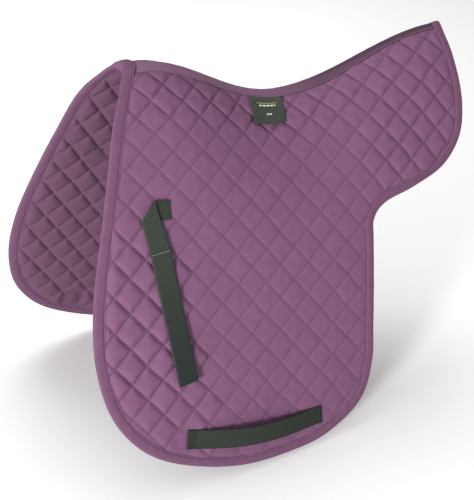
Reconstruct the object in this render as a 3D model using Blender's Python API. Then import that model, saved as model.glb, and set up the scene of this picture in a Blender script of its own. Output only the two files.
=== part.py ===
"""Forward cut numnah: a quilted pad that lies under a saddle, with two halves joined along the horse's spine.

Metres, +Z up. The front of the pad points to -X and its near (left) half hangs on the -Y side.
The origin lies under the spine seam at its lowest point, where the horse's back carries the pad.

Every cloth piece is first modelled flat, as it lies on the cutting table, in pattern coordinates:
x runs along the horse, y is the distance up along the cloth from the lowest point of the hem, and z is
the height above the middle of the pad. The function drape then hangs the flat piece on its half.
"""

import math

import bmesh
import bpy
import numpy as np
from mathutils import Matrix, Vector

# Cloth layers, measured at the quilting stitches
COVER_THICKNESS = 0.0008
WADDING_THICKNESS = 0.0026
LINING_THICKNESS = 0.0008
PIECE_GAP = 0.0003

# Edge binding and spine tapes
BINDING_WIDTH = 0.015
BINDING_THICKNESS = 0.0008
BINDING_BULGE = 0.0030
BINDING_GAP = 0.0009
TAPE_HALF_WIDTH = 0.017
INNER_TAPE_HALF_WIDTH = 0.012
TAPE_THICKNESS = 0.0008
TAPE_GAP = 0.0006

PAD_TOP = WADDING_THICKNESS / 2 + PIECE_GAP + COVER_THICKNESS
PAD_BOTTOM = -WADDING_THICKNESS / 2 - PIECE_GAP - LINING_THICKNESS
BINDING_TOP = PAD_TOP + BINDING_GAP + BINDING_THICKNESS
BINDING_BOTTOM = PAD_BOTTOM - BINDING_GAP - BINDING_THICKNESS

# Spine seam, seen from the side; the inner tape's underside is at level 0 where the seam is lowest
FRONT_LENGTH = 0.247
REAR_LENGTH = 0.3125
FRONT_RISE = 0.073
REAR_RISE = 0.068
FRONT_RUN = 0.230
REAR_RUN = 0.312
SEAM_LEVEL = TAPE_THICKNESS + TAPE_GAP - BINDING_BOTTOM

# How a half hangs: a sloping roof by the seam that bends into a straight leaning side
SIDE_LEAN = 0.315
SIDE_TOP_RISE = 0.298
SIDE_TOP = SEAM_LEVEL + SIDE_TOP_RISE
SHOULDER_DROP = 0.0614
TURN_IN = 0.093
TURN_IN_FROM = -0.092
TURN_IN_DROP = 0.23
HEM_DROP = 0.487
HEM_LEVEL = SEAM_LEVEL - HEM_DROP

# Free edge of the paper pattern between the two ends of the seam, front to rear
FREE_EDGE = (
    (-0.2715, 0.580),
    (-0.299, 0.526),
    (-0.341, 0.412),
    (-0.378, 0.299),
    (-0.389, 0.207),
    (-0.371, 0.126),
    (-0.313, 0.060),
    (-0.199, 0.011),
    (-0.080, 0.000),
    (-0.012, 0.012),
    (0.040, 0.041),
    (0.068, 0.092),
    (0.079, 0.156),
    (0.098, 0.279),
    (0.105, 0.316),
    (0.132, 0.338),
    (0.190, 0.351),
    (0.254, 0.372),
    (0.293, 0.410),
    (0.308, 0.462),
    (0.311, 0.535),
)
EDGE_STEP = 0.030
SEAM_STEP = 0.030

# Quilting: diamonds of stitched lines, with each half's own grid point and turn
QUILT_PITCH = 0.035
QUILT_PUFF = 0.0032
NEAR_QUILT = (-0.181, 0.556, math.radians(-9.6))
FAR_QUILT = (-0.300, 0.308, math.radians(-13.0))
QUILT_SNAP = 0.0006

# Webbing strap at the front of each half: sewn on, folded over at a corner and hanging down
STRAP_WIDTH = 0.032
WEBBING_THICKNESS = 0.0012
STRAP_REAR_EDGE = -0.2615
STRAP_TOP = 0.426
STRAP_SHIFT = 0.015
STRAP_CLEARANCE = 0.0010
STRAP_END_LIFT = 0.0030
ANCHOR_LENGTH = 0.019
SOFT_TAPE_TOP = 0.354
STRAP_BREAK = 0.257
STRAP_END = 0.159
FASTENER_THICKNESS = 0.0013
FASTENER_MARGIN = 0.0006

# Girth loop along the hem: a band sewn down at both ends and bowed off the pad between them
LOOP_WIDTH = 0.028
LOOP_LINE = ((-0.276, 0.077), (-0.205, 0.058), (-0.133, 0.046), (-0.041, 0.037))
LOOP_SEWN_END = 0.016
LOOP_BOW = 0.0155
LOOP_STEP = 0.009
PRESSED_REACH = 0.056

# Size label hanging from the spine tape of the near half
LABEL_FRONT = -0.0555
LABEL_WIDTH = 0.060
LABEL_DROP = 0.051
LABEL_SLANT = -0.015
LABEL_THICKNESS = 0.0006
LABEL_RISE = 0.0065
LABEL_STEPS = 4

# Depth under the seam of the line about which the two halves fold together
FOLD_DROP = 0.030

# How finely the drape is worked out, and the drop over which cloth turns upright at the seam
TABLE_STEPS = 240
SLOPE_STEP = 0.0005
SEAM_UPRIGHT = 0.030

NEAR = -1
FAR = 1


def clear_scene():
    for old in list(bpy.data.objects):
        bpy.data.objects.remove(old, do_unlink=True)


def seam_height(x):
    """Level of the pad's middle along the spine seam, lowest at x = 0."""
    run = np.where(x < 0, FRONT_RUN, REAR_RUN)
    rise = np.where(x < 0, FRONT_RISE, REAR_RISE)
    share = np.clip(np.abs(x) / run, 0, 1)
    return SEAM_LEVEL + rise * (1 - np.cos(math.pi * share)) / 2


def half_width(x, z):
    """How far the pad's middle lies from the horse's centre plane."""
    drop = seam_height(x) - z
    side = SIDE_LEAN * (SIDE_TOP - z)
    at_seam = SIDE_LEAN * (SIDE_TOP - seam_height(x))
    turned = TURN_IN * (x - TURN_IN_FROM) * (1 - np.exp(-drop / TURN_IN_DROP))
    return side - at_seam * np.exp(-drop / SHOULDER_DROP) - turned


def section(x):
    """Levels from the hem up to the seam at each x, and the cloth length from the hem to each level."""
    share = np.linspace(0, 1, TABLE_STEPS)[None, :]
    levels = HEM_LEVEL + (seam_height(x)[:, None] - HEM_LEVEL) * share
    widths = half_width(x[:, None], levels)
    steps = np.hypot(np.diff(levels, axis=1), np.diff(widths, axis=1))
    lengths = np.concatenate([np.zeros((len(x), 1)), np.cumsum(steps, axis=1)], axis=1)
    return levels, lengths


def seam_line(x):
    """Pattern height of the spine seam at each x."""
    return section(np.atleast_1d(np.asarray(x, float)))[1][:, -1]


def drape(points, side):
    """Hang flat pattern points (x, y, height) on the near or the far half."""
    x, up, height = np.asarray(points, float).reshape(-1, 3).T
    levels, lengths = section(x)
    z = np.array([np.interp(u, row, level) for u, row, level in zip(up, lengths, levels)])
    z += np.minimum(up, 0) / math.hypot(1, SIDE_LEAN)
    width = half_width(x, z)
    step = SLOPE_STEP
    along = (half_width(x + step, z) - half_width(x - step, z)) / (2 * step)
    rising = (half_width(x, z + step) - half_width(x, z - step)) / (2 * step)
    normal = np.stack([-along, np.ones_like(x), -rising], axis=1)
    normal /= np.linalg.norm(normal, axis=1)[:, None]
    leaning = np.clip((seam_height(x) - z) / SEAM_UPRIGHT, 0, 1)[:, None]
    lift = leaning * normal + (1 - leaning) * np.array([0.0, 0.0, 1.0])
    lift /= np.linalg.norm(lift, axis=1)[:, None]
    hung = np.stack([x, width + PIECE_GAP / 2, z], axis=1) + lift * height[:, None]
    hung[:, 1] *= side
    return hung


def drape_over_seam(points):
    """Hang flat points (x, across, height) of a piece that lies over the seam, where across is 0."""
    x, across, height = np.asarray(points, float).reshape(-1, 3).T
    up = seam_line(x) - np.abs(across)
    hung = drape(np.stack([x, up, height], axis=1), FAR)
    hung[:, 1] *= np.sign(np.round(across, 6))
    return hung


def smooth_line(points, step):
    """Points about a step apart on a smooth curve through the given points."""
    given = [np.array(p, float) for p in points]
    given = [2 * given[0] - given[1], *given, 2 * given[-1] - given[-2]]
    found = []
    for before, start, end, after in zip(given, given[1:], given[2:], given[3:]):
        count = max(1, round(float(np.linalg.norm(end - start)) / step))
        for k in range(count):
            t = k / count
            linear = (end - before) * t
            square = (2 * before - 5 * start + 4 * end - after) * t**2
            cube = (3 * start - before - 3 * end + after) * t**3
            found.append(start + (linear + square + cube) / 2)
    found.append(given[-2])
    return np.array(found)


def left_of(line):
    """Unit vectors square to a line of points, to the left of its run."""
    run = np.gradient(line, axis=0)
    square = np.stack([-run[:, 1], run[:, 0]], axis=1)
    return square / np.linalg.norm(square, axis=1)[:, None]


def free_edge():
    """The free edge of a half from front to rear, and the line of its binding's stitches, point for point."""
    ends = np.array([-FRONT_LENGTH, REAR_LENGTH])
    front, rear = np.stack([ends, seam_line(ends)], axis=1)
    edge = smooth_line([front, *FREE_EDGE, rear], EDGE_STEP)
    stitched = edge + BINDING_WIDTH * left_of(edge)
    ends = np.array([-FRONT_LENGTH + BINDING_WIDTH, REAR_LENGTH - BINDING_WIDTH])
    stitched[[0, -1]] = np.stack([ends, seam_line(ends) - TAPE_HALF_WIDTH], axis=1)
    return edge, stitched


def seam_edge():
    """The seam edge of a half from rear to front and the edge of its tape, without their end points."""
    edge, stitched = free_edge()
    count = round((FRONT_LENGTH + REAR_LENGTH) / SEAM_STEP)
    share = np.linspace(0, 1, count + 1)[1:-1]
    outer = edge[-1, 0] + (edge[0, 0] - edge[-1, 0]) * share
    inner = stitched[-1, 0] + (stitched[0, 0] - stitched[-1, 0]) * share
    outer_line = np.stack([outer, seam_line(outer)], axis=1)
    inner_line = np.stack([inner, seam_line(inner) - TAPE_HALF_WIDTH], axis=1)
    return outer_line, inner_line


def quilt_lines(quilt):
    """A point on each stitched line of a diamond grid, and the line's normal."""
    x, y, turn = quilt
    reach = math.ceil((FRONT_LENGTH + REAR_LENGTH - HEM_LEVEL) / QUILT_PITCH)
    for diagonal in (math.radians(45), math.radians(-45)):
        normal = Vector((math.cos(turn + diagonal), math.sin(turn + diagonal), 0))
        for k in range(-reach, reach + 1):
            yield Vector((x, y, 0)) + normal * (k * QUILT_PITCH), normal


def loop_place(share, across):
    """Pattern point on the girth loop, share along its middle line and across from it."""
    line = smooth_line(LOOP_LINE, LOOP_STEP)
    steps = np.linalg.norm(np.diff(line, axis=0), axis=1)
    length = np.concatenate([[0], np.cumsum(steps)])
    at = share * length[-1]
    middle = [np.interp(at, length, line[:, k]) for k in (0, 1)]
    square = [np.interp(at, length, left_of(line)[:, k]) for k in (0, 1)]
    return np.array(middle) + across * np.array(square), length[-1]


def swelling(centre, area):
    """Share of the full puff of a quilted cell: less when cut by an edge, none under a sewn loop end."""
    gaps = []
    for end in (0, 1):
        sewn, _ = loop_place(end, 0)
        gaps.append(math.dist(centre, sewn))
    pressed = min(1, max(0, 2 * min(gaps) / PRESSED_REACH - 1))
    return pressed * min(1, math.sqrt(area) / QUILT_PITCH)


def thicken(bm, low, high):
    """Turn a flat open sheet into a closed layer between two heights and return its lower and upper faces."""
    lower = bm.faces[:]
    made = bmesh.ops.extrude_face_region(bm, geom=lower, use_keep_orig=True)["geom"]
    upper = [g for g in made if isinstance(g, bmesh.types.BMFace)]
    raised = {v for f in upper for v in f.verts}
    for v in bm.verts:
        v.co.z = high if v in raised else low
    return lower, upper


def puff_cells(bm, faces, puff):
    """Raise the middle of each quilted cell; a negative puff swells downwards."""
    for v in bmesh.ops.poke(bm, faces=faces)["verts"]:
        area = sum(f.calc_area() for f in v.link_faces)
        v.co.z += puff * swelling(v.co.xy, area)


def quilted_layer(quilt, low, high, low_puff, high_puff):
    """A flat layer of the pad with a plain border and stitched diamonds inside it."""
    edge, stitched = free_edge()
    seam, taped = seam_edge()
    bm = bmesh.new()
    is_cell = bm.faces.layers.int.new("cell")
    outer = [bm.verts.new((x, y, 0)) for x, y in np.concatenate([edge, seam])]
    inner = [bm.verts.new((x, y, 0)) for x, y in np.concatenate([stitched, taped])]
    bm.faces.new(inner)[is_cell] = 1
    for k in range(len(outer)):
        after = (k + 1) % len(outer)
        bm.faces.new((outer[k], outer[after], inner[after], inner[k]))
    for point, normal in quilt_lines(quilt):
        cells = [f for f in bm.faces if f[is_cell]]
        edges = list({e for f in cells for e in f.edges})
        corners = list({v for f in cells for v in f.verts})
        geom = cells + edges + corners
        bmesh.ops.bisect_plane(bm, geom=geom, dist=QUILT_SNAP, plane_co=point, plane_no=normal)
    bmesh.ops.triangulate(bm, faces=[f for f in bm.faces if not f[is_cell]])
    lower, upper = thicken(bm, low, high)
    for faces, puff in ((lower, low_puff), (upper, high_puff)):
        if puff:
            puff_cells(bm, [f for f in faces if f[is_cell]], puff)
    return bm


def band(steps, rows=1):
    """A flat closed strip to be shaped: x and y run from 0 to 1 and z is 0 below and 1 above."""
    bm = bmesh.new()
    bmesh.ops.create_grid(bm, x_segments=steps, y_segments=rows, size=0.5)
    bmesh.ops.translate(bm, verts=bm.verts[:], vec=(0.5, 0.5, 0))
    thicken(bm, 0, 1)
    return bm


def shape(bm, place):
    """Move each vertex of a band to the point that place gives for it."""
    for v in bm.verts:
        v.co = place(*v.co)


def hang(bm, side):
    """Drape a flat piece on its half."""
    for v, point in zip(bm.verts, drape([v.co for v in bm.verts], side)):
        v.co = point


def hang_over_seam(bm):
    for v, point in zip(bm.verts, drape_over_seam([v.co for v in bm.verts])):
        v.co = point


def edge_binding(side):
    """The folded strip that closes the free edge, swept along it as a flat U section."""
    edge, stitched = free_edge()
    inside = BINDING_GAP / BINDING_WIDTH
    fold = (BINDING_GAP + BINDING_THICKNESS / 2) / BINDING_WIDTH
    bulge = BINDING_BULGE / BINDING_WIDTH
    top = PAD_TOP + BINDING_GAP
    bottom = PAD_BOTTOM - BINDING_GAP
    over = ((1, BINDING_TOP), (-fold, BINDING_TOP))
    under = ((-fold, BINDING_BOTTOM), (1, BINDING_BOTTOM))
    outer = (*over, (-bulge, 0), *under)
    inner = ((1, bottom), (-inside, bottom), (-inside, 0), (-inside, top), (1, top))
    profile = outer + inner
    bm = bmesh.new()
    rings = []
    for cut, sewn in zip(edge, stitched):
        ring = []
        for share, height in profile:
            x, y = cut + (sewn - cut) * share
            ring.append(bm.verts.new((x, y, height)))
        rings.append(ring)
    for ring in (rings[0], rings[-1]):
        for k in range(len(outer) - 1):
            bm.faces.new((ring[k], ring[k + 1], ring[-k - 2], ring[-k - 1]))
    for ring, after in zip(rings, rings[1:]):
        for k in range(len(profile)):
            j = (k + 1) % len(profile)
            bm.faces.new((ring[k], ring[j], after[j], after[k]))
    hang(bm, side)
    return bm


def seam_tape(half, low, high):
    """A tape sewn along the spine seam, as wide as twice its half width."""
    steps = round((FRONT_LENGTH + REAR_LENGTH) / SEAM_STEP)
    bm = band(steps, 4)

    def place(share, across, layer):
        x = -FRONT_LENGTH + (FRONT_LENGTH + REAR_LENGTH) * share
        return x, half * (2 * across - 1), low + (high - low) * layer

    shape(bm, place)
    hang_over_seam(bm)
    return bm


def loop_bow(share, length):
    """Height of the girth loop's inner face over the pad's middle."""
    free = (share * length - LOOP_SEWN_END) / (length - 2 * LOOP_SEWN_END)
    return PAD_TOP + PIECE_GAP + LOOP_BOW * math.sin(math.pi * min(1, max(0, free)))


def girth_loop(side):
    """The band along the hem that the girth passes through."""
    _, length = loop_place(0, 0)
    bm = band(round(length / LOOP_STEP))

    def place(share, across, layer):
        (x, y), _ = loop_place(share, (across - 0.5) * LOOP_WIDTH)
        return x, y, loop_bow(share, length) + WEBBING_THICKNESS * layer

    shape(bm, place)
    hang(bm, side)
    return bm


def label_point(share, down, layer):
    """Pattern point of the size label, down being 0 at the tape and 1 at the free end."""
    x = LABEL_FRONT + LABEL_WIDTH * share + LABEL_SLANT * down
    drop = down * LABEL_DROP
    low = BINDING_TOP + PIECE_GAP
    high = PAD_TOP + QUILT_PUFF + PIECE_GAP
    height = low + (high - low) * min(1, drop / LABEL_RISE)
    y = seam_line(x)[0] - TAPE_HALF_WIDTH - PIECE_GAP - drop
    return x, y, height + LABEL_THICKNESS * layer


def size_label():
    """The woven label, plain on both sides, its upper edge against the tape's edge."""
    bm = band(LABEL_STEPS, LABEL_STEPS)
    first = LABEL_RISE / LABEL_DROP

    def place(share, across, layer):
        row = across * LABEL_STEPS
        down = row * first if row < 1 else first + (row - 1) / (LABEL_STEPS - 1) * (1 - first)
        return label_point(share, down, layer)

    shape(bm, place)
    hang(bm, NEAR)
    return bm


def strap_frame(side):
    """Matrix at the middle of the strap's folded corner: X across the strap, Y up along it, Z off the pad."""
    height = PAD_TOP + QUILT_PUFF + STRAP_CLEARANCE + WEBBING_THICKNESS + PIECE_GAP / 2
    x = STRAP_REAR_EDGE - STRAP_WIDTH / 2
    y = STRAP_TOP - STRAP_WIDTH / 2
    top, end, above = (
        Vector(p)
        for p in drape(
            [
                (x, y, height),
                (x + STRAP_SHIFT, STRAP_END, height + STRAP_END_LIFT),
                (x + STRAP_SHIFT, STRAP_END, height + STRAP_END_LIFT + WEBBING_THICKNESS),
            ],
            side,
        )
    )
    up = (top - end).normalized()
    off = (above - end).normalized()
    across = up.cross(off).normalized()
    off = across.cross(up)
    return Matrix.Translation(top) @ Matrix((across, up, off)).transposed().to_4x4()


def strap_piece(side, outline, low, high):
    """A flat webbing piece in the strap's frame; its outline's points are (towards the rear, up)."""
    bm = bmesh.new()
    bm.faces.new([bm.verts.new((-side * x, y, 0)) for x, y in outline])
    thicken(bm, low, high)
    bm.transform(strap_frame(side))
    return bm


def strap_levels():
    """Heights in the strap's frame of the webbing's top and of the fasteners' underside and top."""
    web = PIECE_GAP / 2 + WEBBING_THICKNESS
    return web, web + PIECE_GAP, web + PIECE_GAP + FASTENER_THICKNESS


def rectangle(half, low, high):
    return (-half, low), (half, low), (half, high), (-half, high)


def strap_up(y):
    """Pattern height turned into height along the strap from the middle of its folded corner."""
    return y - (STRAP_TOP - STRAP_WIDTH / 2)


def strap_anchor(side):
    """The end of the strap that is sewn to the cover, up to the folded corner."""
    half = STRAP_WIDTH / 2
    outline = ((half, half), (-half, -half), (half + ANCHOR_LENGTH, -half), (half + ANCHOR_LENGTH, half))
    return strap_piece(side, outline, -PIECE_GAP / 2 - WEBBING_THICKNESS, -PIECE_GAP / 2)


def strap_web(side):
    """The hanging part of the strap, from the folded corner to the bend above the tab."""
    half = STRAP_WIDTH / 2
    low = strap_up(STRAP_BREAK) + PIECE_GAP / 2
    outline = ((half, half), (-half, -half), (-half, low), (half, low))
    return strap_piece(side, outline, PIECE_GAP / 2, strap_levels()[0])


def soft_tape(side):
    """The soft half of the touch fastener, on the outside of the hanging part."""
    low = strap_up(STRAP_BREAK) + PIECE_GAP / 2
    high = strap_up(SOFT_TAPE_TOP)
    _, under, over = strap_levels()
    return strap_piece(side, rectangle(STRAP_WIDTH / 2 - FASTENER_MARGIN, low, high), under, over)


def strap_tab(side):
    """The lower end of the strap, which folds up over the soft tape."""
    low = strap_up(STRAP_END)
    high = strap_up(STRAP_BREAK) - PIECE_GAP / 2
    return strap_piece(side, rectangle(STRAP_WIDTH / 2, low, high), PIECE_GAP / 2, strap_levels()[0])


def hook_tape(side):
    """The hooked half of the touch fastener, on the outside of the tab."""
    low = strap_up(STRAP_END) + FASTENER_MARGIN
    high = strap_up(STRAP_BREAK) - PIECE_GAP / 2
    _, under, over = strap_levels()
    return strap_piece(side, rectangle(STRAP_WIDTH / 2 - FASTENER_MARGIN, low, high), under, over)


def make_material(name, colour, roughness):
    material = bpy.data.materials.new(name)
    material.use_nodes = True
    shader = material.node_tree.nodes["Principled BSDF"]
    shader.inputs["Base Color"].default_value = (*colour, 1)
    shader.inputs["Roughness"].default_value = roughness
    shader.inputs["Metallic"].default_value = 0
    return material


PLUM = (0.26, 0.115, 0.22)
DEEP_PLUM = (0.15, 0.07, 0.13)
CREAM = (0.70, 0.66, 0.58)
FOREST = (0.048, 0.070, 0.043)
DARK_FOREST = (0.035, 0.060, 0.045)
LABEL_GREEN = (0.042, 0.058, 0.050)


def add_node(group, name, bm, colour, roughness, parent):
    """Store a finished shape as one named sub-part with its own material, on its parent's axis."""
    bmesh.ops.triangulate(bm, faces=bm.faces[:])
    bmesh.ops.recalc_face_normals(bm, faces=bm.faces[:])
    mesh = bpy.data.meshes.new(name)
    bm.transform(parent.matrix_world.inverted())
    bm.to_mesh(mesh)
    bm.free()
    mesh.shade_smooth()
    mesh.set_sharp_from_angle(angle=math.radians(40))
    mesh.materials.append(make_material(name, colour, roughness))
    node = bpy.data.objects.new(name, mesh)
    node.parent = parent
    group.objects.link(node)
    return node


def add_axis(group, name, matrix, parent=None):
    """An empty on a joint's axis, which the moving pieces hang on."""
    axis = bpy.data.objects.new(name, None)
    axis.empty_display_size = TAPE_HALF_WIDTH
    axis.parent = parent
    axis.matrix_world = matrix
    group.objects.link(axis)
    bpy.context.view_layer.update()
    return axis


def fold_frame():
    """On the line under the seam about which the halves fold together."""
    return Matrix.Translation((0, 0, SEAM_LEVEL - FOLD_DROP))


def tab_frame(side):
    """On the bend between the hanging part and the tab, just off the fasteners' faces."""
    y = strap_up(STRAP_BREAK)
    z = strap_levels()[2] + PIECE_GAP / 2
    return strap_frame(side) @ Matrix.Translation((0, y, z))


def add_half(group, side, word, quilt, spine):
    """All pieces of one half except the label, and the axis about which the half folds."""
    flap = add_axis(group, f"{word}_flap_axis", fold_frame(), spine)
    core = WADDING_THICKNESS / 2
    layers = (
        ("cover", core + PIECE_GAP, PAD_TOP, 0, QUILT_PUFF, PLUM, 0.85),
        ("wadding", -core, core, 0, 0, CREAM, 0.95),
        ("lining", PAD_BOTTOM, -core - PIECE_GAP, -QUILT_PUFF, 0, DEEP_PLUM, 0.88),
    )
    for layer, low, high, low_puff, high_puff, colour, roughness in layers:
        bm = quilted_layer(quilt, low, high, low_puff, high_puff)
        hang(bm, side)
        add_node(group, f"{word}_{layer}", bm, colour, roughness, flap)
    add_node(group, f"{word}_edge_binding", edge_binding(side), PLUM, 0.8, flap)
    add_node(group, f"{word}_girth_loop", girth_loop(side), FOREST, 0.75, flap)
    add_node(group, f"{word}_strap_anchor", strap_anchor(side), FOREST, 0.75, flap)
    strap = add_axis(group, f"{word}_strap_axis", strap_frame(side), flap)
    add_node(group, f"{word}_strap_web", strap_web(side), FOREST, 0.75, strap)
    add_node(group, f"{word}_soft_tape", soft_tape(side), FOREST, 0.95, strap)
    tab = add_axis(group, f"{word}_tab_axis", tab_frame(side), strap)
    add_node(group, f"{word}_strap_tab", strap_tab(side), FOREST, 0.75, tab)
    add_node(group, f"{word}_hook_tape", hook_tape(side), DARK_FOREST, 0.6, tab)
    return flap


def add_spine(group, spine):
    """The two tapes that close the seam between the halves, outside and inside."""
    over = BINDING_TOP + TAPE_GAP
    outer = seam_tape(TAPE_HALF_WIDTH, over, over + TAPE_THICKNESS)
    add_node(group, "spine_tape", outer, PLUM, 0.8, spine)
    under = BINDING_BOTTOM - TAPE_GAP
    inner = seam_tape(INNER_TAPE_HALF_WIDTH, under - TAPE_THICKNESS, under)
    add_node(group, "spine_inner_tape", inner, DEEP_PLUM, 0.8, spine)


def main():
    clear_scene()
    group = bpy.data.collections.new("numnah")
    bpy.context.scene.collection.children.link(group)
    spine = add_axis(group, "spine_axis", Matrix.Identity(4))
    add_spine(group, spine)
    near_flap = add_half(group, NEAR, "near", NEAR_QUILT, spine)
    add_half(group, FAR, "far", FAR_QUILT, spine)
    add_node(group, "size_label", size_label(), LABEL_GREEN, 0.7, near_flap)


main()
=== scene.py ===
# %% [markdown]
# # A quilted numnah, sewn from flat cloth
# A numnah is the padded cloth between a horse and its saddle. This one has two halves that are joined
# along the spine. We dress its imported CAD model: the model keeps the sizes and the joints, and this
# script makes cloth, thread and webbing that look like the real ones.
# The first step loads that model.

# %% Load the frame
import math

import bmesh
import bpy
import numpy as np
from mathutils import Matrix, Vector


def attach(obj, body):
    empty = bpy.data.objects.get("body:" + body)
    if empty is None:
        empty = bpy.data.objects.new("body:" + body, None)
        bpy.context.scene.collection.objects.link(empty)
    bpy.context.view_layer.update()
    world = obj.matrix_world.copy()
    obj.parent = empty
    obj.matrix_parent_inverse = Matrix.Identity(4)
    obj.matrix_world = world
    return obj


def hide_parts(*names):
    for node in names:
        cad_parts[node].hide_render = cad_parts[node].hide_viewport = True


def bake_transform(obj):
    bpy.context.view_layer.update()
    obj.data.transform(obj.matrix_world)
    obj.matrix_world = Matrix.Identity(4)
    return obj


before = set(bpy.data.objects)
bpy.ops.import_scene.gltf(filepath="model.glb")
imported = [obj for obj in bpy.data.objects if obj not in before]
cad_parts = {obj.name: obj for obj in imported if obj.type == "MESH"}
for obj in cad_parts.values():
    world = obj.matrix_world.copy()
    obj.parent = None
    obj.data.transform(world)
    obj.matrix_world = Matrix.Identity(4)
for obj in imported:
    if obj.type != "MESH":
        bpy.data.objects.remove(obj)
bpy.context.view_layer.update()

# %% [markdown]
# ## How the cloth hangs
# A maker cuts each half flat and then hangs it on the horse. We work in the same way. Every piece is
# made flat, in pattern coordinates: x runs along the horse, y up along the cloth from the lowest point
# of the hem, and z is the height above the middle of the pad. One function then hangs the flat piece.
# Sculpting the hung shape directly would also work, but then the quilting would stretch on the slopes.

# %% Sizes of the pad, in metres
FRONT_LENGTH, REAR_LENGTH = 0.247, 0.3125
FRONT_RISE, REAR_RISE = 0.073, 0.068
FRONT_RUN, REAR_RUN = 0.230, 0.312
SEAM_LEVEL = 0.0055
SIDE_LEAN, SIDE_TOP = 0.315, SEAM_LEVEL + 0.298
SHOULDER_DROP = 0.0614
TURN_IN, TURN_IN_FROM, TURN_IN_DROP = 0.093, -0.092, 0.23
HEM_LEVEL = SEAM_LEVEL - 0.487
PIECE_GAP = 0.0003
NEAR, FAR = -1, 1
HALVES = (("near", NEAR), ("far", FAR))


def soft_step(value):
    """0 below 0, 1 above 1 and smooth between."""
    value = np.clip(value, 0, 1)
    return value * value * (3 - 2 * value)


def seam_height(x):
    """Level of the spine seam, which dips where the saddle sits."""
    run = np.where(x < 0, FRONT_RUN, REAR_RUN)
    rise = np.where(x < 0, FRONT_RISE, REAR_RISE)
    share = np.clip(np.abs(x) / run, 0, 1)
    return SEAM_LEVEL + rise * (1 - np.cos(math.pi * share)) / 2


def half_width(x, z):
    """Distance of the pad from the horse's centre plane: a roof near the seam that turns into a side."""
    drop = seam_height(x) - z
    side = SIDE_LEAN * (SIDE_TOP - z)
    roof = SIDE_LEAN * (SIDE_TOP - seam_height(x)) * np.exp(-drop / SHOULDER_DROP)
    turned = TURN_IN * (x - TURN_IN_FROM) * (1 - np.exp(-drop / TURN_IN_DROP))
    return side - roof - turned


# %% A table from cloth length to level
TABLE_X = np.linspace(-0.41, 0.34, 376)
TABLE_SHARE = np.linspace(0, 1, 401)


def cloth_table():
    """For each x, the cloth length from hem to seam and the level at even shares of that length."""
    top = seam_height(TABLE_X)[:, None]
    levels = HEM_LEVEL + (top - HEM_LEVEL) * TABLE_SHARE
    widths = half_width(TABLE_X[:, None], levels)
    steps = np.hypot(np.diff(levels, axis=1), np.diff(widths, axis=1))
    lengths = np.concatenate([np.zeros((len(TABLE_X), 1)), np.cumsum(steps, axis=1)], axis=1)
    even = [np.interp(TABLE_SHARE * row[-1], row, level) for row, level in zip(lengths, levels)]
    return lengths[:, -1], np.array(even)


SEAM_LENGTHS, LEVELS = cloth_table()


def seam_line(x):
    """Pattern height of the spine seam."""
    return np.interp(x, TABLE_X, SEAM_LENGTHS)


def level_of(x, up):
    """Level of a pattern point, read between the table's rows and columns."""
    column = np.clip(up / seam_line(x), 0, 1) * (len(TABLE_SHARE) - 1)
    row = (x - TABLE_X[0]) / (TABLE_X[1] - TABLE_X[0])
    i = np.clip(row.astype(int), 0, len(TABLE_X) - 2)
    j = np.clip(column.astype(int), 0, len(TABLE_SHARE) - 2)
    s, t = row - i, column - j
    low = LEVELS[i, j] * (1 - t) + LEVELS[i, j + 1] * t
    high = LEVELS[i + 1, j] * (1 - t) + LEVELS[i + 1, j + 1] * t
    return low * (1 - s) + high * s + np.minimum(up, 0) / math.hypot(1, SIDE_LEAN)


# %% Hang flat points
FAR_BULGE = 0.0095
# from the seam down to this drop, heights turn from straight up to square to the cloth
ROOF_DROP = 0.030
SLOPE_STEP = 0.0005


def far_bulge(x, up):
    """How much further out the far half stands below the front of the spine, as the picture shows."""
    drop = seam_line(x) - up
    along = soft_step((-0.10 - x) / 0.12)
    return FAR_BULGE * along * soft_step(drop / 0.018) * soft_step((0.17 - drop) / 0.11)


def drape(points, side):
    """Hang pattern points (x, y, height) on the near or the far half."""
    x, up, height = np.asarray(points, float).reshape(-1, 3).T
    z = level_of(x, up)
    step = SLOPE_STEP
    along = (half_width(x + step, z) - half_width(x - step, z)) / (2 * step)
    rising = (half_width(x, z + step) - half_width(x, z - step)) / (2 * step)
    normal = np.stack([-along, np.ones_like(x), -rising], axis=1)
    normal /= np.linalg.norm(normal, axis=1)[:, None]
    leaning = np.clip((seam_height(x) - z) / ROOF_DROP, 0, 1)[:, None]
    lift = leaning * normal + (1 - leaning) * np.array([0.0, 0.0, 1.0])
    lift /= np.linalg.norm(lift, axis=1)[:, None]
    if side == FAR:
        height = height + far_bulge(x, up)
    hung = np.stack([x, half_width(x, z) + PIECE_GAP / 2, z], axis=1) + lift * height[:, None]
    hung[:, 1] *= side
    return hung


def drape_over_seam(points):
    """Hang points (x, across, height) of a piece that lies over the seam, where across is 0."""
    x, across, height = np.asarray(points, float).reshape(-1, 3).T
    flat = np.stack([x, seam_line(x) - np.abs(across), height], axis=1)
    hung = np.where(across[:, None] > 0, drape(flat, FAR), drape(flat, NEAR))
    hung[np.abs(across) < 1e-6, 1] = 0
    return hung


seam_steps = np.hypot(np.diff(TABLE_X), np.diff(seam_height(TABLE_X)))
print("spine seam along the cloth", round(float(seam_steps.sum()), 3))

# %% [markdown]
# ## The cut edge
# The pattern's outline is a smooth curve through a few points, as drawn with a flexible ruler.
# We need it finely for the binding, and as a closed line to trim the cloth.

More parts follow.
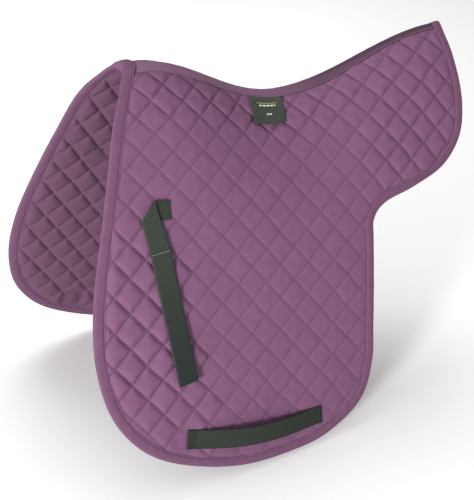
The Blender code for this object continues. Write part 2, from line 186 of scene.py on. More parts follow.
# %% Outline of a half
FREE_EDGE = (
    (-0.2715, 0.580), (-0.299, 0.526), (-0.341, 0.412), (-0.378, 0.299), (-0.389, 0.207), (-0.371, 0.126),
    (-0.313, 0.060), (-0.199, 0.011), (-0.080, 0.000), (-0.012, 0.012), (0.040, 0.041), (0.068, 0.092),
    (0.079, 0.156), (0.098, 0.279), (0.105, 0.316), (0.132, 0.338), (0.190, 0.351), (0.254, 0.372),
    (0.293, 0.410), (0.308, 0.462), (0.311, 0.535),
)
BINDING_WIDTH = 0.015
TAPE_HALF_WIDTH = 0.017
EDGE_STEP = 0.003


def smooth_line(points, step):
    """Points about a step apart on a smooth curve through the given points."""
    given = [np.array(p, float) for p in points]
    given = [2 * given[0] - given[1], *given, 2 * given[-1] - given[-2]]
    found = []
    for before, start, end, after in zip(given, given[1:], given[2:], given[3:]):
        count = max(1, round(float(np.linalg.norm(end - start)) / step))
        t = (np.arange(count) / count)[:, None]
        square = 2 * before - 5 * start + 4 * end - after
        cube = 3 * start - before - 3 * end + after
        found.extend(start + ((end - before) * t + square * t**2 + cube * t**3) / 2)
    found.append(given[-2])
    return np.array(found)


def left_of(line):
    """Unit vectors square to a line, to the left of its run."""
    run = np.gradient(line, axis=0)
    square = np.stack([-run[:, 1], run[:, 0]], axis=1)
    return square / np.linalg.norm(square, axis=1)[:, None]


def length_along(line):
    """Distance along a line at each of its points."""
    return np.concatenate([[0], np.cumsum(np.linalg.norm(np.diff(line, axis=0), axis=1))])


def points_at(distance, run, line):
    """Points of a line, or vectors that go with it, at distances along its run."""
    return np.column_stack([np.interp(distance, run, axis) for axis in line.T])


def free_edge():
    """The free edge of a half, from the front end of the seam round the hem to its rear end."""
    ends = np.array([-FRONT_LENGTH, REAR_LENGTH])
    front, rear = np.stack([ends, seam_line(ends)], axis=1)
    return smooth_line([front, *FREE_EDGE, rear], EDGE_STEP)


EDGE = free_edge()
EDGE_IN = left_of(EDGE)
EDGE_RUN = length_along(EDGE)


def pad_outline(inset):
    """Closed line that runs inside the cut edge and the seam by an inset."""
    x = np.linspace(REAR_LENGTH - inset, -FRONT_LENGTH + inset, 120)
    seam = np.stack([x, seam_line(x) - inset], axis=1)
    return np.concatenate([EDGE[2:-2] + inset * EDGE_IN[2:-2], seam])


print("free edge", round(EDGE_RUN[-1], 3), "m")

# %% [markdown]
# ## Quilting, inflated by a cloth simulation
# Two layers of cotton hold the wadding, and rows of stitches pull them together in diamonds. The cloth
# between two rows is a little too large, so the wadding pushes it up into a pillow, and its surplus
# gathers in small puckers along the thread. A formula can give the pillow but not the puckers, so one
# swatch of quilting is inflated with Blender's Cloth: its points on the stitches are pinned, the rest
# is swollen by pressure. Each diamond of the pad then takes one of the swatch's diamonds, no two
# neighbours alike. That is much faster than a simulation of the whole pad, and it can't drift.

# %% A swatch of quilting
QUILT_PITCH = 0.035
CELL_STEPS = 16
SWATCH_CELLS = 4
CLOTH_SURPLUS = 0.005
SWATCH_FRAMES = 30
HIGHEST_PUFF = 0.012


def swatch_grid():
    """A flat square of cloth whose points fall on the stitched lines every CELL_STEPS."""
    bm = bmesh.new()
    count, half = CELL_STEPS * SWATCH_CELLS, SWATCH_CELLS * QUILT_PITCH / 2
    bmesh.ops.create_grid(bm, x_segments=count, y_segments=count, size=half)
    bmesh.ops.translate(bm, verts=bm.verts[:], vec=(half, half, 0))
    return bm


def grid_place(co):
    """Column and row of the swatch's points."""
    return np.round(co[:, :2] / QUILT_PITCH * CELL_STEPS).astype(int)


def coordinates(mesh):
    """A mesh's points as an array."""
    co = np.empty(len(mesh.vertices) * 3)
    mesh.vertices.foreach_get("co", co)
    return co.reshape(-1, 3)


def add_object(name, data):
    """Put a new object with its mesh, lamp or lens into the scene."""
    made = bpy.data.objects.new(name, data)
    bpy.context.scene.collection.objects.link(made)
    return made


def inflate(flat):
    """Pin the stitched lines of the swatch, blow it up with Cloth and return its points."""
    mesh = bpy.data.meshes.new("swatch")
    swatch_grid().to_mesh(mesh)
    swatch = add_object("swatch", mesh)
    on_line = (grid_place(flat) % CELL_STEPS == 0).any(axis=1)
    pins = swatch.vertex_groups.new(name="stitched")
    pins.add([int(i) for i in np.flatnonzero(on_line)], 1, "REPLACE")
    uneven = flat.copy()
    uneven[~on_line, 2] += np.random.default_rng(3).uniform(0, 0.0003, (~on_line).sum())
    mesh.vertices.foreach_set("co", uneven.ravel())
    cloth = swatch.modifiers.new("Cloth", "CLOTH")
    settings = cloth.settings
    settings.vertex_group_mass = "stitched"
    settings.shrink_min = -CLOTH_SURPLUS
    settings.quality = 8
    settings.bending_stiffness = 2
    settings.tension_stiffness = settings.compression_stiffness = 5
    settings.shear_stiffness = 1.5
    settings.tension_damping = settings.compression_damping = 20
    settings.air_damping = 6
    settings.use_pressure = True
    settings.uniform_pressure_force = 80
    settings.effector_weights.gravity = 0
    cloth.point_cache.frame_end = SWATCH_FRAMES
    for frame_number in range(1, SWATCH_FRAMES + 1):
        bpy.context.scene.frame_set(frame_number)
    blown = coordinates(swatch.evaluated_get(bpy.context.evaluated_depsgraph_get()).to_mesh()).copy()
    bpy.context.scene.frame_set(1)
    bpy.data.objects.remove(swatch, do_unlink=True)
    return blown


def swatch_puffs():
    """Shift of each point of the swatch by column and row; its height is 1 for a mean diamond's middle."""
    bm = swatch_grid()
    flat = np.array([v.co for v in bm.verts])
    bm.free()
    shift = inflate(flat) - flat
    shift[:, 2] = shift[:, 2].clip(0, HIGHEST_PUFF)
    table = np.zeros((CELL_STEPS * SWATCH_CELLS + 1,) * 2 + (3,))
    columns, rows = grid_place(flat).T
    table[columns, rows] = shift
    middles = table[CELL_STEPS // 2 :: CELL_STEPS, CELL_STEPS // 2 :: CELL_STEPS, 2]
    sideways = np.abs(table[..., :2]).max()
    print("diamonds rise", middles.min(), "to", middles.max(), "m; sideways up to", sideways)
    table[..., 2] /= middles.mean()
    return table


PUFFS = swatch_puffs()

# %% [markdown]
# ## One face of the pad
# The cover and the lining are the same work seen from the two sides: a grid that follows the stitched
# lines is trimmed to the outline, puffed out from the wadding and hung. The puffs die away at the
# binding, at the spine tape and where webbing is sewn on. A grid that is cut a few millimetres inside
# the edge is enough, since the binding covers it.

# %% Where the pad is held down, and how it strays
STITCH_DEPTH = 0.0018
COVER_PUFF, LINING_PUFF = 0.0040, 0.0060
COVER_INSET = 0.005
# a crossing of the stitched lines, and the turn of the quilting
QUILTS = {NEAR: (-0.181, 0.556, math.radians(-9.6)), FAR: (-0.300, 0.308, math.radians(-13.0))}
LOOP_LINE = ((-0.276, 0.077), (-0.205, 0.058), (-0.133, 0.046), (-0.041, 0.037))
# places where the wadding is held down: the place, its radius, the reach of its slope, the puff left there
HELD_DOWN = (
    (LOOP_LINE[0], 0.014, 0.018, 0.0),
    (LOOP_LINE[-1], 0.014, 0.018, 0.0),
    ((-0.250, 0.409), 0.012, 0.018, 0.66),
)


def waves(x, y, length, seed):
    """Gentle uneven waves, about the given length across and 1 high."""
    turns = np.random.default_rng(seed).uniform(0, 2 * math.pi, (6, 2))
    total = sum(
        np.sin(2 * math.pi / length * (x * math.cos(way) + y * math.sin(way)) * (0.7 + 0.12 * k) + phase)
        for k, (way, phase) in enumerate(turns)
    )
    return total / 3.5


def slack(x, y):
    """How far the whole pad waves out of its ideal shape, in metres."""
    return 0.0007 * waves(x, y, 0.16, 11)


def lay(flat, height, side):
    """Hang flat points at a height over the middle of the waving pad."""
    return drape(np.column_stack([flat, height + slack(*flat.T)]), side)


def binding_share(x, up):
    """Width of the binding as a share of its full width; it is folded over less along the hem."""
    return 1 - 0.22 * soft_step((0.11 - up) / 0.07) - 0.10 * soft_step((x - 0.05) / 0.05)


def wander(x, y):
    """How far the stitched lines stray sideways, since no machine guides soft cloth quite straight."""
    return 0.0011 * np.stack([waves(x, y, 0.085, 12), waves(x, y, 0.085, 13)], axis=1)


def tape_shift(x):
    """How far the spine tape runs off the middle towards the far half, at the rear."""
    return 0.0065 * soft_step((x - 0.08) / 0.14)


# %% Helpers for outlines and meshes
def inside(points, outline):
    """Which points lie inside a closed outline."""
    found = np.zeros(len(points), bool)
    for (x1, y1), (x2, y2) in zip(outline, np.roll(outline, -1, axis=0)):
        crosses = (y1 > points[:, 1]) != (y2 > points[:, 1])
        if y1 != y2:
            found ^= crosses & (points[:, 0] < x1 + (x2 - x1) * (points[:, 1] - y1) / (y2 - y1))
    return found


def distance_to_line(points, line):
    """Least distance of each point to a line."""
    nearest = np.full(len(points), 1.0)
    for start, end in zip(line, line[1:]):
        run = end - start
        share = np.clip((points - start) @ run / (run @ run), 0, 1)[:, None]
        nearest = np.minimum(nearest, np.linalg.norm(points - start - share * run, axis=1))
    return nearest


def add_map(mesh, name, places):
    """Give a mesh a map from one place per point."""
    corners = np.empty(len(mesh.loops), int)
    mesh.loops.foreach_get("vertex_index", corners)
    mesh.uv_layers.new(name=name).uv.foreach_set("vector", places[corners].ravel())


def make_piece(name, bm, material):
    """Turn a finished bmesh into a smooth object with its material."""
    mesh = bpy.data.meshes.new(name)
    bm.to_mesh(mesh)
    bm.free()
    mesh.shade_smooth()
    mesh.materials.append(material)
    piece = add_object(name, mesh)
    return piece


# %% How full each diamond is
# the puffs start this far under the binding and the tape, and reach their full height over the fade
TUCK, FADE = 0.0015, 0.0045


def cover_fill(middle_x, middle_up, to_tape):
    """Fill of the cover's diamonds by the places of their middles, and how flat their tops are pressed.

    The cover is stretched flat in the middle of a half. Its diamonds puff more near the rear end and the
    spine, and most of all from the front edge to the strap, where the pad is slack.
    """
    slack_end = -0.2455 + 0.06 * np.clip(0.41 - middle_up, 0, 0.25)
    front = (middle_x < slack_end) * soft_step((0.46 - middle_up) / 0.12)
    front = front * (0.5 + 0.5 * soft_step((middle_up - 0.08) / 0.12))
    rear = soft_step((middle_x - 0.07) / 0.10)
    by_spine = 0.95 * soft_step(1.1 - to_tape / 0.14)
    return np.maximum(0.34 + 0.96 * front + 0.70 * rear, by_spine), 1.9 - 0.7 * np.maximum(front, rear)


def puffed_heights(flat, cells, ways, side, face):
    """Shift of each flat point along the two quilting directions and its height over the stitches.

    Where the saddle has pressed the pillows, they are flat on top, so their heights are eased towards 1.
    """
    whole = np.floor(cells + 1e-6).astype(int)
    steps = np.round((cells - whole) * CELL_STEPS).astype(int)
    seed = 5 + side * 2 + face
    pick = whole[:, 0] * 5 + whole[:, 1] * 7 + seed
    tile = np.stack([pick % SWATCH_CELLS, pick // SWATCH_CELLS % SWATCH_CELLS], axis=1)
    at = tile * CELL_STEPS + steps
    shift = PUFFS[at[:, 0], at[:, 1]].copy()
    uneven = np.random.default_rng(seed).uniform(0.86, 1.14, 101)
    shift[:, 2] *= uneven[(whole[:, 0] * 31 + whole[:, 1] * 17) % 101]
    x, up = flat.T
    to_binding = distance_to_line(flat, EDGE) - BINDING_WIDTH * binding_share(x, up) + TUCK
    to_tape = seam_line(x) - up - TAPE_HALF_WIDTH + TUCK - side * tape_shift(x)
    full, pressed, wrinkles = 1.0, 1.3, 0.0
    if face > 0:
        middles = (whole + 0.5) @ ways * QUILT_PITCH + QUILTS[side][:2]
        full, pressed = cover_fill(*middles.T, to_tape)
        wrinkles = (0.07 + 0.16 * soft_step(1.1 - to_tape / 0.10)) * waves(x, up, 0.021, 14)
    shift[:, 2] = np.tanh(pressed * shift[:, 2]) / np.tanh(pressed) * full + wrinkles
    fade = 1 - np.exp(-np.clip(np.minimum(to_binding, to_tape), 0, 1) / FADE)
    for spot, radius, slope, left in HELD_DOWN:
        away = np.linalg.norm(flat - np.array(spot), axis=1)
        fade *= left + (1 - left) * soft_step((away - radius) / slope)
    return shift * fade[:, None]


# %% Trim, puff and hang one face
def quilted_face(name, side, face, material):
    """The cover (face 1) or the lining (face -1) of one half."""
    x, y, turn = QUILTS[side]
    ways = np.array([[math.cos(turn + a), math.sin(turn + a)] for a in (math.pi / 4, -math.pi / 4)])
    outline = pad_outline(COVER_INSET)
    reach = (outline - (x, y)) @ ways.T / QUILT_PITCH
    low, high = np.floor(reach.min(axis=0)), np.ceil(reach.max(axis=0))
    counts = (high - low).astype(int) * CELL_STEPS
    bm = bmesh.new()
    bmesh.ops.create_grid(bm, x_segments=int(counts[0]), y_segments=int(counts[1]), size=0.5)
    edges = (ways.T * (high - low) * QUILT_PITCH).tolist()
    centre = np.array((x, y)) + (low + high) / 2 @ ways * QUILT_PITCH
    place = Matrix(((*edges[0], 0, centre[0]), (*edges[1], 0, centre[1]), (0, 0, 1, 0), (0, 0, 0, 1)))
    bmesh.ops.transform(bm, matrix=place, verts=bm.verts[:])
    kept = inside(np.array([v.co.xy for v in bm.verts]), outline)
    bmesh.ops.delete(bm, geom=[v for v, keep in zip(bm.verts, kept) if not keep], context="VERTS")
    bmesh.ops.delete(bm, geom=[v for v in bm.verts if not v.link_faces], context="VERTS")
    if (face > 0) != (side == FAR):
        bmesh.ops.reverse_faces(bm, faces=bm.faces[:])
    piece = make_piece(name, bm, material)
    flat = coordinates(piece.data)[:, :2]
    cells = (flat - (x, y)) @ ways.T / QUILT_PITCH
    shift = puffed_heights(flat, cells, ways, side, face)
    moved = flat + shift[:, :2] @ ways + wander(*flat.T)
    puff = COVER_PUFF if face > 0 else LINING_PUFF
    height = face * (STITCH_DEPTH + puff * shift[:, 2]) + slack(*flat.T)
    add_map(piece.data, "cloth", flat)
    add_map(piece.data, "quilt", cells)
    piece.data.vertices.foreach_set("co", drape(np.column_stack([moved, height]), side).ravel())
    return piece


# %% [markdown]
# ## Materials: a few words first
# All colours are hex values, turned to linear light by one function; the few that are painted shade or
# painted highlights say so where they are set. Every pattern uses a real size in millimetres: cotton
# twill has ridges about half a millimetre apart, which is too fine for this picture, so it is drawn twice as
# coarse.

# %% Helpers for materials
COLOUR = dict(data_type="RGBA")
TINT = dict(data_type="RGBA", blend_type="MULTIPLY")
# scale of a wave texture whose ridges lie a metre apart, and how unevenly threads run
METRE_RIDGES = math.pi / 10
WOVEN = dict(Distortion=0.6, Detail=1.0)


def linear(code):
    """A hex colour as linear red, green, blue and alpha."""
    parts = [int(code[k : k + 2], 16) / 255 for k in (1, 3, 5)]
    return (*(c / 12.92 if c <= 0.04045 else ((c + 0.055) / 1.055) ** 2.4 for c in parts), 1)


def add(tree, kind, settings=(), **inputs):
    """Add a node with its settings, or its operation, and its inputs, by name or as i0, i1 and so on.

    An input is a value, a socket, or a node, which then gives its first output in use.
    """
    node = tree.nodes.new("ShaderNode" + kind)
    if isinstance(settings, str):
        settings = dict(operation=settings)
    for key, value in dict(settings).items():
        setattr(node, key, value)
    for key, value in inputs.items():
        at = int(key[1:]) if key[1:].isdigit() else key
        if isinstance(value, bpy.types.Node):
            value = next(socket for socket in value.outputs if socket.enabled)
        if isinstance(value, bpy.types.NodeSocket):
            tree.links.new(value, node.inputs[at])
        else:
            node.inputs[at].default_value = value
    return node


def start_material(name, roughness, sheen, sheen_colour):
    """A material with only its output and a rough cloth shader, whose constants are set here."""
    material = bpy.data.materials.new(name)
    material.use_nodes = True
    shader = material.node_tree.nodes["Principled BSDF"]
    shader.inputs["Roughness"].default_value = roughness
    shader.inputs["Specular IOR Level"].default_value = 0.15
    shader.inputs["Sheen Weight"].default_value = sheen
    shader.inputs["Sheen Roughness"].default_value = 0.55
    shader.inputs["Sheen Tint"].default_value = linear(sheen_colour)
    return material, material.node_tree


def finish_material(material, colour, relief=None, strength=0.35, depth=0.0002):
    """Link a colour, and a relief with its depth in metres, to the material's shader."""
    tree = material.node_tree
    shader = tree.nodes["Principled BSDF"]
    tree.links.new(colour.outputs[2], shader.inputs["Base Color"])
    if relief:
        bump = add(tree, "Bump", Strength=strength, Distance=depth, Height=relief)
        tree.links.new(bump.outputs[0], shader.inputs["Normal"])
    return material


# %% [markdown]
# ## Cotton twill, quilted
# Twill is woven in steps, so it shows fine slanting ridges, and dyed cotton is never one flat colour:
# it is a little paler in rubbed patches that fall at random. Near the thread the creases are painted darker,
# as painted shade.
# The stitches themselves are dashes along the quilting lines, about 4 mm from one to the next.

# %% Quilted cotton
# as shares of a diamond: half the pitch of the stitches, half the gap between them, half a thread, the width
# of the painted shade along a crease
HALF_STITCH, HALF_GAP, HALF_THREAD, CREASE = 0.057, 0.017, 0.012, 0.035


def quilted_cotton(name, middle, painted_crease_shade, worn, thread, ridge):
    """Cotton with painted shade in its creases and paler rubbed patches, with its own stitches as dashes."""
    material, tree = start_material(name, 0.88, 0.06, worn)
    cloth = add(tree, "UVMap", dict(uv_map="cloth"))
    cells = add(tree, "SeparateXYZ", Vector=add(tree, "UVMap", dict(uv_map="quilt"))).outputs
    lines, dashes = [], []
    for mine, other in (("X", "Y"), ("Y", "X")):
        lines.append(add(tree, "Math", "PINGPONG", i0=cells[mine], i1=0.5))
        along = add(tree, "Math", "PINGPONG", i0=cells[other], i1=HALF_STITCH)
        thin = add(tree, "Math", "LESS_THAN", i0=lines[-1], i1=HALF_THREAD)
        dash = add(tree, "Math", "GREATER_THAN", i0=along, i1=HALF_GAP)
        dashes.append(add(tree, "Math", "MULTIPLY", i0=thin, i1=dash))
    near_line = add(tree, "Math", "MINIMUM", i0=lines[0], i1=lines[1])
    # painted shade: near the stitched lines the colour turns darker, in the creases
    crease = add(tree, "MapRange", dict(interpolation_type="SMOOTHSTEP"), Value=near_line, i2=CREASE)
    tone = add(tree, "Mix", COLOUR, i0=crease, i6=linear(painted_crease_shade), i7=linear(middle))
    dyed = add(tree, "TexNoise", Vector=cloth, Scale=28.0, Detail=3.0).outputs["Fac"]
    rub = add(tree, "MapRange", Value=dyed, i1=0.40, i2=0.75, i4=0.30)
    rubbed = add(tree, "Mix", COLOUR, i0=rub, i6=tone, i7=linear(worn))
    fibre = add(tree, "TexNoise", Vector=cloth, Scale=620.0).outputs["Fac"]
    grain = add(tree, "MapRange", Value=fibre, i1=0.2, i2=0.8, i3=0.80, i4=1.20)
    grained = add(tree, "Mix", TINT, i0=1.0, i6=rubbed, i7=grain)
    stitched = add(tree, "Math", "MAXIMUM", i0=dashes[0], i1=dashes[1])
    colour = add(tree, "Mix", COLOUR, i0=stitched, i6=grained, i7=linear(thread))
    turned = add(tree, "Mapping", Vector=cloth, Rotation=(0, 0, math.radians(52)))
    ridges = add(tree, "TexWave", Vector=turned, Scale=METRE_RIDGES / ridge, **WOVEN).outputs["Fac"]
    mixed = add(tree, "Math", "ADD", i0=ridges, i1=fibre)
    raised = add(tree, "Math", "ADD", i0=mixed, i1=stitched)
    return finish_material(material, colour, raised, depth=0.00025)


# twill looks dull and soft; its ridges and its thread are all that catches the light
COVER_COTTON = quilted_cotton("plum_cotton_twill", "#6a4762", "#51354b", "#75516c", "#5c4257", 0.0010)
# the lining is woven finer, and its colour is darkened as painted shade, so its pale thread stands out
LINING_COTTON = quilted_cotton("plum_polycotton_lining", "#5b3f52", "#472e42", "#65475a", "#86687f", 0.0008)

# %% [markdown]
# ## Bias binding and tapes
# The raw edge is closed by a strip of thin cotton that is cut on the bias, at 45 degrees to its threads,
# because only then does it follow a curve without creasing. Its weave therefore runs slantwise, and is
# also drawn about twice as coarse as it is. Each hem of a strip is painted darker, as painted shade.

# %% Plain cotton for bindings
# distance inwards from the cut edge and height of the folded strip in mm, from its hem to its fold
BINDING_PROFILE = (
    (15.0, 1.5), (15.1, 2.4), (14.5, 2.7), (13.8, 2.3), (13.2, 1.7), (12.6, 2.3), (11.8, 2.9), (10.0, 3.3),
    (7.0, 3.5), (4.0, 3.5), (1.5, 3.3), (-0.4, 2.9), (-1.7, 2.2), (-2.5, 1.2),
)
BIAS_THREADS = 0.0009


def binding_ring():
    """The whole profile, from the hem below round the fold to the hem above."""
    top = [(inwards / 1000, height / 1000) for inwards, height in BINDING_PROFILE]
    return np.array([(a, -b) for a, b in top] + [(-0.0028, 0.0)] + [(a, b) for a, b in reversed(top)])


RING = binding_ring()
RING_RUN = length_along(RING)


def bias_cotton(name, middle, worn, width, rim, painted_shade=False):
    """Thin cotton with painted shade: darker by rim at both edges of a strip of this width, and by its map
    "shade".
    """
    material, tree = start_material(name, 0.86, 0.05, worn)
    strip = add(tree, "UVMap", dict(uv_map="strip"))
    dyed = add(tree, "TexNoise", Vector=strip, Scale=60.0, Detail=4.0).outputs["Fac"]
    rub = add(tree, "MapRange", Value=dyed, i1=0.35, i2=0.75, i4=0.45)
    tone = add(tree, "Mix", COLOUR, i0=rub, i6=linear(middle), i7=linear(worn))
    fibre = add(tree, "TexNoise", Vector=strip, Scale=1000.0).outputs["Fac"]
    grain = add(tree, "MapRange", Value=fibre, i1=0.2, i2=0.8, i3=0.90, i4=1.10)
    grained = add(tree, "Mix", TINT, i0=1.0, i6=tone, i7=grain)
    # painted shade: both edges of the strip are darker, by the factor rim
    across = add(tree, "SeparateXYZ", Vector=strip).outputs["Y"]
    edge = add(tree, "Math", "PINGPONG", i0=across, i1=width / 2)
    level = add(tree, "MapRange", Value=edge, i1=0.0014, i2=0.0025, i3=rim)
    # painted shade: where the map "shade" is 1, the colour falls to 0.22 of itself
    if painted_shade:
        dark = add(tree, "SeparateXYZ", Vector=add(tree, "UVMap", dict(uv_map="shade"))).outputs["X"]
        away = add(tree, "MapRange", Value=dark, i3=1.0, i4=0.22)
        level = add(tree, "Math", "MULTIPLY", i0=level, i1=away)
    hemmed = add(tree, "Mix", TINT, i0=1.0, i6=grained, i7=level)
    threads = []
    for angle in (45, -45):
        turned = add(tree, "Mapping", Vector=strip, Rotation=(0, 0, math.radians(angle)))
        wave = add(tree, "TexWave", Vector=turned, Scale=METRE_RIDGES / BIAS_THREADS, **WOVEN)
        threads.append(wave.outputs["Fac"])
    woven = add(tree, "Math", "MULTIPLY", i0=threads[0], i1=threads[1])
    return finish_material(material, hemmed, woven)


# painted shade: a dark line along the binding's hem; the tape lies flatter, so less at its edges, and is
# painted darker towards the rear
BINDING_COTTON = bias_cotton("plum_bias_cotton", "#604058", "#6c4b64", RING_RUN[-1], 0.15)
TAPE_COTTON = bias_cotton("plum_cotton_tape", "#6c4e64", "#76576e", 2 * TAPE_HALF_WIDTH, 0.75, painted_shade=True)

# %% [markdown]
# ## Webbing and touch fastener
# Webbing is a tape woven with thick ribs, here of dark green polypropylene, which is a little shiny.
# One side of the fastener is a mat of soft loops, the other is set with tiny hooks and looks smoother.
# The ribs are about a millimetre and a half apart and are drawn wider, at 2.5 mm, so that they show.

# %% Webbing, loops, hooks and thread
LOOP_WIDTH = 0.028
EVEN = (1.0, 1.0, 1.0)


def woven_tape(name, middle, light, rib, slant, roughness, depth, tones=EVEN, selvedge=1.0):
    """Ribbed tape; tones are a length and the tone at its two ends, and selvedge darkens the edges."""
    length, start, end = tones
    material, tree = start_material(name, roughness, 0.04, light)
    strip = add(tree, "UVMap", dict(uv_map="strip"))
    turned = add(tree, "Mapping", Vector=strip, Rotation=(0, 0, math.radians(slant)))
    ribs = add(tree, "TexWave", Vector=turned, Scale=METRE_RIDGES / rib, **WOVEN).outputs["Fac"]
    crossed = add(tree, "Mapping", Vector=strip, Rotation=(0, 0, math.radians(slant + 90)))
    picks = add(tree, "TexWave", Vector=crossed, Scale=METRE_RIDGES / (rib * 0.8), **WOVEN).outputs["Fac"]
    woven = add(tree, "Math", "MULTIPLY_ADD", i0=picks, i1=0.2, i2=ribs)
    uneven = add(tree, "TexNoise", Vector=strip, Scale=560.0).outputs["Fac"]
    shade = add(tree, "Math", "ADD", i0=woven, i1=uneven)
    # painted highlight: where the ribs rise the colour turns lighter; the noise adds random tone
    tone = add(tree, "MapRange", Value=shade, i1=0.6, i2=1.55)
    ribbed = add(tree, "Mix", COLOUR, i0=tone, i6=linear(middle), i7=linear(light))
    place = add(tree, "SeparateXYZ", Vector=strip).outputs
    level = add(tree, "MapRange", Value=place["X"], i2=length, i3=start, i4=end)
    edge = add(tree, "Math", "PINGPONG", i0=place["Y"], i1=LOOP_WIDTH / 2)
    rim = add(tree, "MapRange", Value=edge, i1=0.0004, i2=0.0018, i3=selvedge)
    both = add(tree, "Math", "MULTIPLY", i0=level, i1=rim)
    toned = add(tree, "Mix", TINT, i0=1.0, i6=ribbed, i7=both)
    return finish_material(material, toned, woven, 0.6, depth)


def sewing_thread(name, colour):
    """Twisted thread, whose tone changes a little from turn to turn."""
    material, tree = start_material(name, 0.6, 0.03, colour)
    place = add(tree, "TexCoord").outputs["Object"]
    twist = add(tree, "TexNoise", Vector=place, Scale=1500.0, Detail=1.0).outputs["Fac"]
    level = add(tree, "MapRange", Value=twist, i1=0.3, i2=0.7, i3=0.8, i4=1.15)
    return finish_material(material, add(tree, "Mix", TINT, i0=1.0, i6=linear(colour), i7=level))


# webbing's ribs are painted lighter as slanting highlights, rib by rib, and the girth's finer ribs end in a
# dark selvedge
GREEN_WEBBING = woven_tape("dark_green_webbing", "#0f130f", "#404640", 0.0025, 72, 0.62, 0.0004)
GIRTH_WEBBING = woven_tape(
    "dark_green_girth_webbing", "#1b1f1a", "#30352f", 0.0018, 90, 0.7, 0.0003, selvedge=0.45
)
# the loops swallow light and darken downwards, the hooks look smoother and duller
GREEN_LOOPS = woven_tape(
    "green_loop_fastener", "#121512", "#3e443d", 0.0025, 72, 0.8, 0.0003, (0.097, 1.02, 0.72)
)
GREEN_HOOKS = woven_tape(
    "green_hook_fastener", "#111612", "#2a2f2b", 0.0025, 72, 0.6, 0.0002, (0.098, 1.26, 0.96)
)
# thread is smoother than cloth, so each stitch has a small highlight
PLUM_THREAD = sewing_thread("plum_thread", "#846780")
TAPE_THREAD = sewing_thread("plum_tape_thread", "#7c6075")
GREEN_THREAD = sewing_thread("green_thread", "#79857a")
DARK_THREAD = sewing_thread("dark_green_thread", "#141914")

# %% [markdown]
# ## Cover and lining of both halves
# The cover and the lining are made for each half, in place of the CAD parts, and their placement is
# baked into their meshes.


def fold_with_half(piece):
    """Bake a piece's placement into its mesh."""
    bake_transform(piece)


for word, side in HALVES:
    cover = quilted_face(f"{word}_quilted_cover", side, 1, COVER_COTTON)
    lining = quilted_face(f"{word}_quilted_lining", side, -1, LINING_COTTON)
    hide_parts(f"{word}_cover", f"{word}_wadding")
    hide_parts(f"{word}_lining")
    for face in (cover, lining):
        fold_with_half(face)
    print(word, "cover has", len(cover.data.polygons), "faces")

# %% [markdown]
# ## Strips
# Binding, tape, webbing and label are all strips: a flat grid, most often with a thickness, that is
# bent to its place. The grid and its thickness come from two bmesh operators, and the bending is one
# function per piece. A sweep along a curve would do too, but it doesn't keep the strip's own length and
# width, which the weave needs.


# %% A closed strip
def unit_grid(steps, rows):
    """A flat grid whose x and y run from 0 to 1."""
    bm = bmesh.new()
    bmesh.ops.create_grid(bm, x_segments=steps, y_segments=rows, size=0.5)
    bmesh.ops.translate(bm, verts=bm.verts[:], vec=(0.5, 0.5, 0))
    return bm


def flat_strip(steps, rows):
    """A closed slab whose x and y run from 0 to 1, with z 0 below and 1 above."""
    bm = unit_grid(steps, rows)
    made = bmesh.ops.extrude_face_region(bm, geom=bm.faces[:], use_keep_orig=True)["geom"]
    for v in (g for g in made if isinstance(g, bmesh.types.BMVert)):
        v.co.z = 1
    return bm


def add_strip_map(bm, axes, sizes):
    """Map each corner by two of its coordinates, each times a size in metres."""
    strip_map = bm.loops.layers.uv.new("strip")
    for loop in (loop for f in bm.faces for loop in f.loops):
        loop[strip_map].uv = [loop.vert.co[axis] * size for axis, size in zip(axes, sizes)]


def bend_strip(bm, length, width, place):
    """Give a strip its map in metres, and move its points to where place puts (share, across, layer)."""
    add_strip_map(bm, (0, 1), (length, width))
    co = np.array([v.co for v in bm.verts])
    for v, point in zip(bm.verts, place(*co.T)):
        v.co = point
    bmesh.ops.recalc_face_normals(bm, faces=bm.faces[:])


def rounded(across, width, thickness):
    """Share of a strip's thickness that is left near its two long edges."""
    from_edge = np.minimum(across, 1 - across) * width / thickness
    return np.sqrt(np.clip(1 - (1 - np.clip(from_edge, 0, 1)) ** 2, 0.06, 1))


# %% The binding of each half
def bound_edge(name, side):
    """The folded strip round the free edge, with shallow puckers at its stitches."""
    count = len(EDGE) - 1
    bm = unit_grid(count, len(RING) - 1)

    def place(share, across, _):
        i = np.round(share * count).astype(int)
        j = np.round(across * (len(RING) - 1)).astype(int)
        inwards, height = RING[j].T
        inwards = np.where(inwards > 0, inwards * binding_share(*EDGE[i].T), inwards)
        run = EDGE_RUN[i]
        pucker = waves(run, RING_RUN[j] * 1.5, 0.016, 21 + side) * 0.00030
        fullness = 1 + 0.10 * waves(run, 0 * run, 0.05, 31 + side)
        height = np.sign(height) * (np.abs(height) * fullness + pucker * (np.abs(height) > 0.0020))
        return lay(EDGE[i] + EDGE_IN[i] * inwards[:, None], height, side)

    bend_strip(bm, EDGE_RUN[-1], RING_RUN[-1], place)
    if side == FAR:
        bmesh.ops.reverse_faces(bm, faces=bm.faces[:])
    return make_piece(name, bm, BINDING_COTTON)


for word, side in HALVES:
    bound = bound_edge(f"{word}_bound_edge", side)
    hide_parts(f"{word}_edge_binding")
    fold_with_half(bound)
    print(bound.name, len(bound.data.polygons), "faces")

# %% [markdown]
# ## The spine
# A tape covers the seam between the halves, and a narrower one closes it from below. Both are sewn
# along their edges and rise in the middle, where the two halves meet. At each end of the seam a short
# length of binding crosses them.

# %% Spine tapes
SPINE_LENGTH = FRONT_LENGTH + REAR_LENGTH
TAPE_THICKNESS = 0.0009


